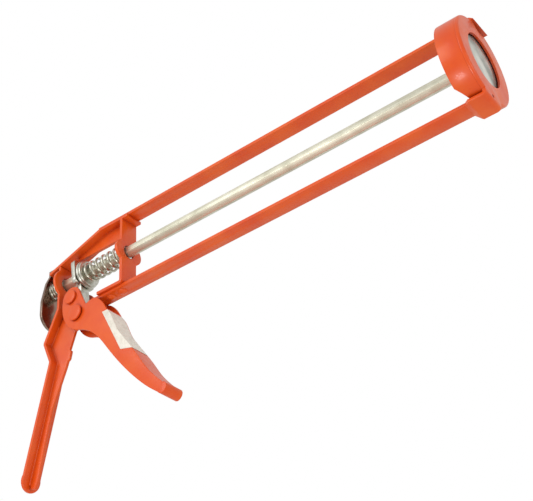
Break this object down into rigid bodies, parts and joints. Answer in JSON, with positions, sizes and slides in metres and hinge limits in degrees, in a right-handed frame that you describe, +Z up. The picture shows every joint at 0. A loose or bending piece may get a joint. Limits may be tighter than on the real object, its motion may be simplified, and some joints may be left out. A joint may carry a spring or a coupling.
{
  "type": "caulking gun",
  "caption": "Skeleton caulking gun: strap frame with a front cup, hexagonal push rod, sprung grip plate, lock lever, strip handle and squeeze trigger.",
  "frame": {"origin": "centre of the nozzle opening on the front plate's front face", "axes": "+X forward along the push rod, +Z up away from the handle, +Y to the gun's left"},
  "size_m": [0.3348, 0.054, 0.1656],
  "materials": {
    "orange_enamel": "gloss",
    "zinc_plate": "satin",
    "bright_steel": "polished",
    "dark_steel": "polished",
    "paper": "matte"
  },
  "bodies": {
    "frame": {"frame_strap": "orange_enamel", "front_cup": "orange_enamel", "body_bracket": "orange_enamel", "upper_rivets": "orange_enamel", "lower_rivets": "orange_enamel", "handle": "orange_enamel", "pivot_pin": "orange_enamel", "pivot_spacers": "zinc_plate", "main_spring": "bright_steel", "lock_spring": "bright_steel"},
    "trigger": {"trigger": "orange_enamel", "label": "paper", "drive_pin": "orange_enamel", "drive_sleeve": "zinc_plate"},
    "grip": {"grip_plate": "bright_steel", "spring_washer_rear": "bright_steel", "spring_washer_front": "bright_steel"},
    "rod": {"push_rod": "zinc_plate", "plunger_disc": "zinc_plate", "plunger_backing": "zinc_plate", "plunger_nut": "zinc_plate", "plunger_washer": "zinc_plate"},
    "lever": {"lock_lever": "dark_steel"}
  },
  "joints": [
    {"name": "trigger_pivot", "type": "hinge", "parent": "frame", "child": "trigger", "pos_m": [-0.291, 0, -0.0318], "axis": [0, 1, 0], "range_deg": [0, 40], "stiffness_Nm_per_rad": 0.35, "springref_deg": -14.32},
    {"name": "grip_slide", "type": "slide", "parent": "frame", "child": "grip", "axis": [1, 0, 0], "range_m": [0, 0.0106], "deforming": ["main_spring"]},
    {"name": "rod_slide", "type": "slide", "parent": "frame", "child": "rod", "axis": [1, 0, 0], "range_m": [-0.228, 0]},
    {"name": "lever_hinge", "type": "hinge", "parent": "frame", "child": "lever", "pos_m": [-0.319, 0, 0.0122], "axis": [0, -1, 0], "range_deg": [0, 4], "stiffness_Nm_per_rad": 0.3, "springref_deg": -8.59, "deforming": ["lock_spring"]}
  ],
  "couplings": [
    {"joint": "grip_slide", "follows": "trigger_pivot", "m_per_rad": 0.015}
  ]
}
